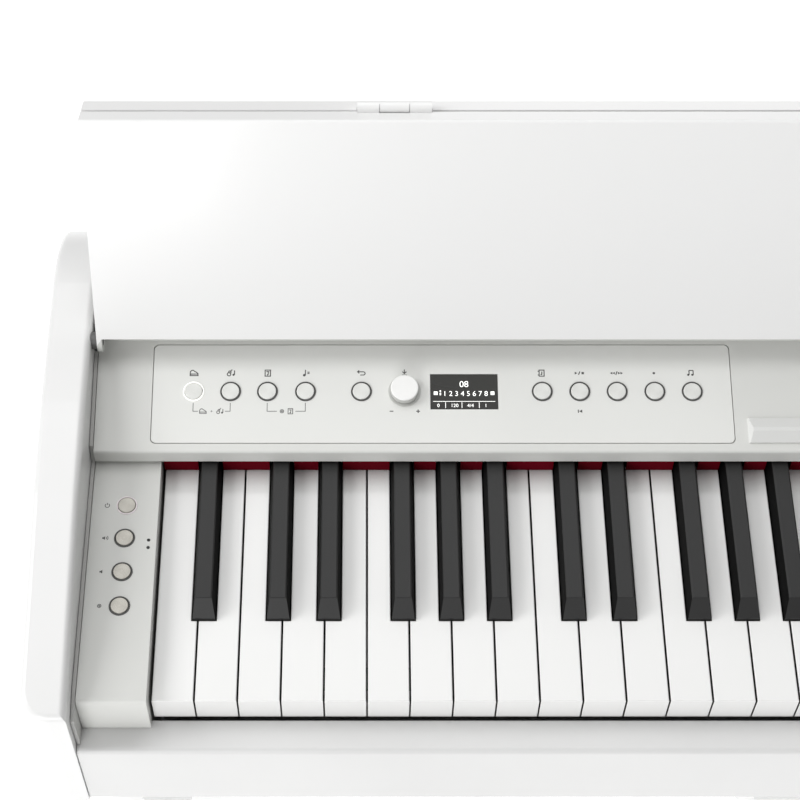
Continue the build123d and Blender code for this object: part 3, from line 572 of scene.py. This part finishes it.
def draw_screen_bars(shape):
    """The rule under the main row, the dividers below it, the end blocks and a small sign."""
    rule = [(-18.0, -6.2, 18.0, -5.9)]
    dividers = [(x, -10.2, x + 0.3, -6.6) for x in (-11.0, -1.5, 8.5)]
    end_blocks = [(-17.6, -2.0, -15.4, 0.2), (15.4, -2.0, 17.6, 0.2)]
    small_sign = [(-14.2, 0.0, -13.4, 0.9), (-14.2, -2.2, -13.4, -0.6)]
    for left, low, right, high in rule + dividers + end_blocks + small_sign:
        ink_patch(shape, [(left, low), (right, low), (right, high), (left, high)], on_screen)


def figures(text, x, y, size):
    """Numerals as a flat mesh on the screen."""
    curve = bpy.data.curves.new("figures", "FONT")
    curve.body = text
    curve.size = size
    curve.align_x = "CENTER"
    holder = bpy.data.objects.new("figures", curve)
    flat = bpy.data.meshes.new_from_object(holder)
    for vertex in flat.vertices:
        vertex.co = on_screen(x + vertex.co.x, y + vertex.co.y)
    bpy.data.objects.remove(holder)
    return flat


def draw_screen(shape):
    """All lit figures: a large number, the main row, and four numbers in the status row."""
    draw_screen_bars(shape)
    status_y, status_size = -9.6, 3.0
    rows = [("08", 0, 3.0, 5.4), ("1 2 3 4 5 6 7 8", 0.8, -2.6, 4.4)]
    rows += [(text, x, status_y, status_size)
             for text, x in (("120", -5.6), ("4/4", 3.6), ("1", 12.5), ("0", -15.0))]
    for text, x, y, size in rows:
        shape.from_mesh(figures(text, x, y, size))


screen_mesh = mesh_from("display_figures", draw_screen)
screen_figures = place("display_figures", screen_mesh, "cabinet")
screen_figures.data.materials.append(lit("figure_white", (0.92, 0.93, 0.90), 0.9))

# ---- Rings round the buttons, and the dial's collar ----
# Thin dark rings pressed into the plate and the cheek. Two of them are light guides: the
# first on the plate is lit white, and the one round the power button glows faintly. The
# dial's wider collar is moulded in grey.
ring_dark = grained("ring_dark", ((0.045, 0.045, 0.043), (0.06, 0.06, 0.057)),
                    roughness=(0.28, 0.4), scale=1500.0, relief=0.00001)
ring_lit = lit("ring_lit", (0.95, 0.95, 0.93), 0.45)
ring_pale = lit("ring_pale", (0.80, 0.74, 0.76), 0.12)
collar_grey = grained("collar_grey", ((0.55, 0.555, 0.53), (0.5, 0.505, 0.485)),
                      roughness=(0.3, 0.4), scale=2200.0, relief=0.00002)
ring_mesh = node["control_rings"].data
ring_mesh.materials.clear()
for made in (ring_dark, ring_lit, ring_pale, collar_grey):
    ring_mesh.materials.append(made)
LIT, PALE, COLLAR = 1, 2, 3
special_rings = [(LIT, middle_of("panel_button_1"), 9.0 * MM),
                 (PALE, middle_of("power_button"), 9.0 * MM),
                 (COLLAR, middle_of("dial_knob"), 11.0 * MM)]
for face in ring_mesh.polygons:
    for index, centre, reach in special_rings:
        if (face.center - centre).length < reach:
            face.material_index = index

# ---- Buttons ----
# Thin caps of spun aluminium on plastic stems. The tool leaves fine rings on each cap, and
# its gloss sweeps round the centre. The panel's caps are painted a pale silver, and the four
# on the cheek are anodised a warmer tone.
turned, turned_in, turned_out = new_group(
    "turned_face", [("Centre", "v", (0, 0, 0)), ("Axis", "v", (0, 0, 1)), ("Pitch", "f", 0.0003)],
    [("Rings", "f"), ("Sweep", "f")])
turned_place = add(turned, "ShaderNodeTexCoord")
from_centre = add(turned, "ShaderNodeVectorMath", operation="SUBTRACT",
                  sockets={0: turned_place.outputs["Object"], 1: turned_in.outputs["Centre"]})
off_axis = add(turned, "ShaderNodeVectorMath", operation="CROSS_PRODUCT",
               sockets={0: from_centre.outputs[0], 1: turned_in.outputs["Axis"]})
radius = add(turned, "ShaderNodeVectorMath", operation="LENGTH", sockets={0: off_axis.outputs[0]})
turns = add(turned, "ShaderNodeMath", operation="DIVIDE",
            sockets={0: radius.outputs["Value"], 1: turned_in.outputs["Pitch"]})
ring_noise = add(turned, "ShaderNodeTexNoise", noise_dimensions="1D",
                 sockets={"W": turns.outputs[0], "Scale": 1.0, "Detail": 2.0})
speckle = add(turned, "ShaderNodeTexNoise", sockets={
    "Vector": turned_place.outputs["Object"], "Scale": 2400.0, "Detail": 2.0})
ring_mix = add(turned, "ShaderNodeMath", operation="ADD",
               sockets={0: ring_noise.outputs["Fac"], 1: speckle.outputs["Fac"]})
split = add(turned, "ShaderNodeSeparateXYZ", sockets={0: off_axis.outputs[0]})
angle = add(turned, "ShaderNodeMath", operation="ARCTAN2",
            sockets={0: split.outputs["X"], 1: split.outputs["Y"]})
doubled = add(turned, "ShaderNodeMath", operation="MULTIPLY_ADD",
              sockets={0: angle.outputs[0], 1: 2.0, 2: 0.6})
sweep = add(turned, "ShaderNodeMath", operation="SINE", sockets={0: doubled.outputs[0]})
sweep_levels = add(turned, "ShaderNodeMapRange", sockets={
    "Value": sweep.outputs[0], "From Min": -1.0})
turned.links.new(ring_mix.outputs[0], turned_out.inputs["Rings"])
turned.links.new(sweep_levels.outputs[0], turned_out.inputs["Sweep"])


def spun_cap(name, colours, axis, roughness=(0.34, 0.46), metallic=0.0):
    """Spun metal finish centred on one cap."""
    made = finish("spun_" + name, colours[0], roughness[0], metallic=metallic)
    face = use_group(made, turned, Centre=middle_of(name), Axis=axis)
    flecks = add(made.node_tree, "ShaderNodeMapRange", sockets={
        "Value": face.outputs["Rings"], "From Min": 0.75, "From Max": 1.25})
    tint(made, flecks.outputs[0], *colours)
    spread(made, face.outputs["Sweep"], "Roughness", *roughness)
    raise_bump(made, face.outputs["Rings"], strength=0.4, depth=0.03 * MM)
    dress([name], made)


pale_silver = ((0.66, 0.665, 0.64), (0.71, 0.715, 0.69))
warm_silver = ((0.40, 0.385, 0.34), (0.60, 0.58, 0.53))
for number in range(1, len(button_across) + 1):
    spun_cap("panel_button_%d" % number, pale_silver, off_panel, metallic=0.15)
for name in ("cheek_button_1", "cheek_button_2", "cheek_button_3", "power_button"):
    spun_cap(name, warm_silver, (0, 0, 1), metallic=0.3)

# ---- Dial ----
# A moulded white knob with a flat top, on a steel shaft; its side is painted a darker grey as
# shade. It turns to choose and pushes in to confirm.
spun_cap("dial_knob", ((0.86, 0.86, 0.845), (0.90, 0.90, 0.885)), off_panel, roughness=(0.3, 0.36))
dial_side_painted_shade = grained("dial_side_painted_shade", ((0.56, 0.565, 0.545), (0.52, 0.525, 0.505)),
                    roughness=(0.3, 0.4), scale=1800.0, relief=0.00002)
dial_mesh = node["dial_knob"].data
dial_mesh.materials.append(dial_side_painted_shade)
# Faces turned away from the plate take the darker grey: painted shade on the knob's side.
for face in dial_mesh.polygons:
    faces_up = face.normal.dot(off_panel) >= 0.4
    face.material_index = 0 if faces_up else 1

# ---- Felt strip ----
# Dark red wool felt, glued behind the fascia's lip, that stops dust and quiets the keys.
felt_red = grained("felt_red", ((0.11, 0.0, 0.005), (0.15, 0.0, 0.009)),
                   roughness=(0.92, 0.98), scale=2200.0, relief=0.0004, stretch=(0.6, 1, 1),
                   specular=0.08)
dress(["felt_strip"], felt_red)

# ---- Keys ----
# White keys have glossy moulded plastic tops with softened edges; their flanks and undersides are
# painted near black as shade in the gaps between keys. Black keys have a satin, ebony-like top;
# their flanks are duller and painted darker still as shade. The tone drifts by a hair along the
# keyboard.
note_names = ["c", "c_sharp", "d", "d_sharp", "e", "f",
              "f_sharp", "g", "g_sharp", "a", "a_sharp", "b"]
white_key = grained("white_key", ((0.88, 0.88, 0.87), (0.86, 0.86, 0.85)),
                    roughness=(0.14, 0.22), scale=260.0, relief=0.00001, coat=0.4,
                    coat_roughness=0.06)
# The white keys' flanks take a near-black colour: painted shade in the gaps between keys.
white_key_flank_painted_shade = grained("white_key_flank_painted_shade", ((0.030, 0.028, 0.026), (0.045, 0.042, 0.038)),
                   roughness=(0.7, 0.8), scale=500.0, relief=0.00006, stretch=(1, 0.1, 1))
black_top = grained("black_key_top", ((0.020, 0.020, 0.020), (0.026, 0.026, 0.026)),
                    roughness=(0.40, 0.48), scale=1500.0, relief=0.00003, stretch=(1, 0.15, 1),
                    specular=0.32)
# The black keys' flanks are duller and also painted darker than the tops: painted shade on the
# sides.
black_flank_painted_shade = grained("black_key_flank_painted_shade", ((0.004, 0.004, 0.004), (0.006, 0.006, 0.006)),
                     roughness=(0.6, 0.7), scale=1500.0, relief=0.00003, stretch=(1, 0.15, 1),
                     specular=0.02)


def dress_key(name, top, side):
    """Outer skin on tops and fronts; on the flanks and undersides a darker material, painted shade.
    """
    mesh = node[name].data
    mesh.materials.clear()
    mesh.materials.append(top)
    mesh.materials.append(side)
    for face in mesh.polygons:
        flank = abs(face.normal.x) > 0.92
        underside = face.normal.z < -0.5
        face.material_index = 1 if flank or underside else 0


for note in note_names:
    if "sharp" in note:
        dress_key(note + "_keys", black_top, black_flank_painted_shade)
    else:
        dress_key(note + "_keys", white_key, white_key_flank_painted_shade)

# ---- Inside: key frame, switch boards ----
# The frame is pressed steel, zinc plated and passivated, with a strip of green cloth on its
# front rail. The boards are green glass-fibre laminate with black switches and the display's
# metal can.
zinc = grained("zinc_frame", ((0.52, 0.52, 0.50), (0.60, 0.60, 0.56)),
               roughness=(0.35, 0.5), scale=300.0, relief=0.00004, metallic=1.0)
dress(["key_frame"], zinc)
laminate = grained("board_laminate", ((0.02, 0.12, 0.05), (0.03, 0.15, 0.07)),
                   roughness=(0.35, 0.45), scale=1200.0, relief=0.00002)
dress(["switch_boards"], laminate)
switch_black = grained("switch_black", ((0.02, 0.02, 0.02), (0.03, 0.03, 0.03)),
                       roughness=(0.4, 0.5), scale=1500.0, relief=0.00002)
switch_mesh = node["switch_boards"].data
switch_mesh.materials.append(switch_black)
switch_mesh.materials.append(zinc)
BLACK, ZINC = 1, 2
board_drop = 11.0 * MM
clear_of_board = 0.05 * MM
cheek_board_end = -20.0 * MM
can_half_width = 20.0 * MM
for face in switch_mesh.polygons:
    from_plate = face.center - plate_corner
    on_main = from_plate.x > cheek_board_end
    height = from_plate.dot(off_panel) if on_main else face.center.z - cheek_face
    if height > -board_drop + clear_of_board:
        from_screen = abs(from_plate.x - screen_centre[0] * MM)
        face.material_index = ZINC if on_main and from_screen < can_half_width else BLACK

frame_low, frame_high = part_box("key_frame")


def cloth_strip(shape):
    """Soft strip with rounded long edges, laid on the front rail under the keys."""
    rail_height, rail_depth, rounding, spans = 36.0 * MM, 14.0 * MM, 0.8 * MM, 52
    rail_z, front, back = frame_low.z + rail_height, frame_low.y, frame_low.y + rail_depth
    section = [(front, 0), (front, 1.2), (front + rounding, 2.0),
               (back - rounding, 2.0), (back, 1.2), (back, 0)]
    length = frame_high.x - frame_low.x
    stations = [frame_low.x + length * i / spans for i in range(spans + 1)]
    rows = [[shape.verts.new((x, y, rail_z + h * MM)) for y, h in section] for x in stations]
    for a, b in zip(rows, rows[1:]):
        for i in range(len(section) - 1):
            shape.faces.new((a[i], b[i], b[i + 1], a[i + 1]))
    shape.faces.new(rows[0])
    shape.faces.new(rows[-1][::-1])


rail_cloth = grained("rail_cloth", ((0.03, 0.09, 0.045), (0.04, 0.11, 0.055)),
                     roughness=(0.9, 0.97), scale=2000.0, relief=0.0003)
piece("rail_cloth", cloth_strip, "cabinet", rail_cloth)

# ---- Speakers, grilles, jack boxes and glides ----
# Coated paper cones in black frames, behind slotted black grilles and cloth under the key
# bed. The jack boxes and the glides are black mouldings with a fine grain; the jacks' nuts
# and the contacts in the rear sockets are nickel plated.
cone_black = grained("cone_black", ((0.022, 0.022, 0.023), (0.035, 0.035, 0.036)),
                     roughness=(0.6, 0.75), scale=900.0, relief=0.0001)
moulded_black = grained("moulded_black", ((0.03, 0.03, 0.031), (0.042, 0.042, 0.043)),
                        roughness=(0.45, 0.6), scale=1600.0, relief=0.00006)
dress(["speakers"], cone_black)
dress(["speaker_grilles", "jack_boxes", "floor_glides"], moulded_black)
bed_low, bed_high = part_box("key_bed")
grille_low, grille_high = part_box("speaker_grilles")
grille_middle = (grille_low + grille_high) / 2
grille_depth = (grille_high.y - grille_low.y) / MM


def grille_cloth(shape):
    """Cloth stretched over each grille, in the cut-out of the key bed; it bellies up a little."""
    rim, half_straight, belly, loops = 8.6, 43.0, 2.2, 8
    half = grille_depth / 2 - rim
    for speaker_x in (-470.0 * MM, 470.0 * MM):
        centre = Vector((speaker_x, grille_middle.y, bed_low.z + 0.3 * MM))
        rings = []
        for step in range(loops + 1):
            scale = 1 - step / loops
            rise = (1 - scale * scale) * belly
            outline = ring_path(half_straight, 0, half * scale, -90, 180, 16)
            outline += ring_path(-half_straight, 0, half * scale, 90, 180, 16)
            rings.append([shape.verts.new(centre + Vector((x, y, rise)) * MM) for x, y in outline])
        for a, b in zip(rings, rings[1:]):
            for i in range(len(a)):
                loop = (a[i], a[(i + 1) % len(a)], b[(i + 1) % len(a)], b[i])
                shape.faces.new(loop)
    bmesh.ops.remove_doubles(shape, verts=shape.verts, dist=0.00001)


cloth_black = grained("cloth_black", ((0.018, 0.018, 0.019), (0.03, 0.03, 0.031)),
                      roughness=(0.85, 0.95), scale=3000.0, relief=0.0003)
piece("grille_cloth", grille_cloth, "cabinet", cloth_black)

nickel = grained("nickel", ((0.66, 0.65, 0.62), (0.58, 0.57, 0.54)),
                 roughness=(0.2, 0.32), scale=1200.0, relief=0.00002, metallic=1.0)
jack_front, jack_height = -142.5, 621.0
jack_mouths = [Vector((across, jack_front, jack_height)) * MM for across in (-548.02, -520.02)]


def jack_rings(shape):
    """Threaded barrel and six-sided nut at each headphone jack."""
    barrel = [(3.3, -2.0), (3.3, 1.6), (3.6, 1.9), (4.2, 1.9), (4.5, 1.6), (4.5, 0.9)]
    nut = [(4.5, 0.9), (6.2, 0.9), (6.6, 0.5), (6.6, -0.4)]
    for mouth in jack_mouths:
        turned_piece(shape, barrel, mouth, (0, -1, 0), steps=28)
        turned_piece(shape, nut, mouth, (0, -1, 0), steps=6)


def socket_pins(shape):
    """Pin and sleeve of the power inlet, and the contact tongues of the two flat sockets."""
    pin = [(1.0, -13.0), (1.0, -3.4), (0.6, -2.8), (0.0, -2.7)]
    sleeve = [(4.45, -12.0), (4.45, 0.3), (4.8, 0.6), (5.6, 0.6), (5.9, 0.3), (5.9, -0.4)]
    socket_middle = Vector((0.0, 160.5, 623.0)) * MM
    inlet = socket_middle + Vector((-36.0, 0, 0)) * MM
    turned_piece(shape, pin, inlet, (0, 1, 0), steps=16)
    turned_piece(shape, sleeve, inlet, (0, 1, 0), steps=28)
    tongue_half_depth, tongue_sink = 4.0, 8.0
    box_faces = ((0, 1, 3, 2), (4, 6, 7, 5), (0, 4, 5, 1),
                 (2, 3, 7, 6), (0, 2, 6, 4), (1, 5, 7, 3))
    for across, half_width, half_thick in ((0.0, 4.5, 1.2), (36.0, 5.0, 0.7)):
        corners = [Vector((across + sx * half_width, sy * tongue_half_depth - tongue_sink,
                           sz * half_thick)) * MM
                   for sx in (-1, 1) for sy in (-1, 1) for sz in (-1, 1)]
        verts = [shape.verts.new(socket_middle + corner) for corner in corners]
        for loop in box_faces:
            shape.faces.new([verts[i] for i in loop])
    bmesh.ops.recalc_face_normals(shape, faces=shape.faces)


piece("jack_rings", jack_rings, "cabinet", nickel)
piece("socket_contacts", socket_pins, "cabinet", nickel)

# ---- Screws, cover caps and the adjuster's thread ----
# Black zinc screws hold the rear panel, the key bed, the pedal box and the jack boxes.
# White caps cover the bolts of the stand; a steel thread carries the pedal box's foot.
screw_black = grained("screw_black", ((0.05, 0.05, 0.05), (0.075, 0.075, 0.075)),
                      roughness=(0.32, 0.45), scale=900.0, relief=0.00002, metallic=0.8)
panel_low, panel_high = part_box("rear_panel")
stand_low, stand_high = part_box("stand_back_board")
pedal_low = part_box("pedal_box")[0]


def pan_screw(shape, at, axis, size=1.0):
    """Pan head with a cross recess, seated on a face."""
    head = [(3.6, -0.4), (3.6, 0.5), (3.3, 1.1), (2.6, 1.6), (1.5, 1.85), (1.35, 0.9), (0.0, 0.5)]
    turned_piece(shape, [(r * size, h * size) for r, h in head], at, axis)
    across = Vector(axis).orthogonal().normalized()
    along = Vector(axis).cross(across)
    slot_half_length, slot_half_width, slot_taper = 2.1, 0.42, 0.6
    slot_top, slot_floor = 1.78, 0.7
    for run, side in ((across, along), (along, across)):
        corners = [run * a * slot_half_length + side * b * slot_half_width
                   for a, b in ((1, 1), (-1, 1), (-1, -1), (1, -1))]
        lifted = [Vector(at) + (corner + Vector(axis) * slot_top) * size * MM for corner in corners]
        sunk = [Vector(at) + (corner * slot_taper + Vector(axis) * slot_floor) * size * MM
                for corner in corners]
        top = [shape.verts.new(point) for point in lifted]
        low = [shape.verts.new(point) for point in sunk]
        for i in range(4):
            shape.faces.new((top[i], top[(i + 1) % 4], low[(i + 1) % 4], low[i]))
        shape.faces.new(low)


def cabinet_screws(shape):
    """Rows along the rear panel and the rear of the key bed, under the pedal box and the jacks."""
    panel_middle = (panel_low.z + panel_high.z) / 2
    for x in (-0.6 + 0.2 * i for i in range(7)):
        pan_screw(shape, (x, panel_high.y, panel_middle), (0, 1, 0))
    for x in (-0.6, -0.36, 0.36, 0.6):
        pan_screw(shape, (x, bed_high.y - 28.0 * MM, bed_low.z), (0, 0, -1))
    for x in (-0.15, -0.05, 0.05, 0.15):
        pan_screw(shape, (x, pedal_low.y + 6.0 * MM, pedal_low.z), (0, 0, -1), size=0.8)
    behind_mouth = Vector((0, 62.0, 10.0)) * MM
    for mouth in jack_mouths:
        pan_screw(shape, mouth + behind_mouth, (0, 1, 0), size=0.6)


def stand_caps(shape):
    """Domed plastic caps over the bolts at the ends of the back board."""
    dome = [(6.2, -0.3), (6.2, 0.5), (5.7, 1.0), (4.0, 1.3), (2.0, 1.45), (0.0, 1.5)]
    from_end, from_edge = 30.0 * MM, 50.0 * MM
    for x in (stand_low.x + from_end, stand_high.x - from_end):
        for z in (stand_low.z + from_edge, stand_high.z - from_edge):
            turned_piece(shape, dome, (x, stand_high.y, z), (0, 1, 0), steps=28)


def adjuster_thread(shape):
    """Rolled thread on the adjuster between its foot and the pedal box."""
    root, crest, pitch, start, turns_count = 6.05, 6.55, 2.0, 7.0, 14
    profile = []
    for i in range(turns_count):
        profile += [(root, start + i * pitch), (crest, start + (i + 0.5) * pitch)]
    profile.append((root, start + turns_count * pitch))
    centre = middle_of("pedal_box")
    centre.z = 0.0
    turned_piece(shape, profile, centre, (0, 0, 1), steps=28)


piece("cabinet_screws", cabinet_screws, "cabinet", screw_black)
piece("stand_caps", stand_caps, "cabinet", white_lacquer)
piece("adjuster_thread", adjuster_thread, "cabinet", pin_steel)


# ---- Pedals ----
# Cast brass levers, polished and lacquered, that come out of the box through black moulded
# frames; the gloss is worn a little unevenly.
def pedal_bushes(shape):
    """Black frame let into the box round each pedal slot, with a rounded rim."""
    slot_low, slot_high, slot_half_width = 52.0 * MM, 78.0 * MM, 9.5
    rim = [(0.0, -2.0), (0.0, 0.9), (0.6, 1.3), (2.2, 1.3), (2.7, 0.8), (2.7, -0.3)]
    for pedal_x in (-75.0, 0.0, 75.0):
        loops = []
        for grow, stand_out in rim:
            left = (pedal_x - slot_half_width - grow) * MM
            right = (pedal_x + slot_half_width + grow) * MM
            low, high = slot_low - grow * MM, slot_high + grow * MM
            y = pedal_low.y - stand_out * MM
            loops.append([shape.verts.new(corner) for corner in (
                (left, y, low), (right, y, low), (right, y, high), (left, y, high))])
        for a, b in zip(loops, loops[1:]):
            for i in range(4):
                shape.faces.new((a[i], a[(i + 1) % 4], b[(i + 1) % 4], b[i]))


piece("pedal_bushes", pedal_bushes, "cabinet", moulded_black)
brass = grained("pedal_brass", ((0.78, 0.57, 0.24), (0.70, 0.50, 0.20)),
                roughness=(0.16, 0.3), scale=500.0, relief=0.00003, stretch=(1, 0.15, 1),
                metallic=1.0)
dress(["left_pedal", "centre_pedal", "right_pedal"], brass)
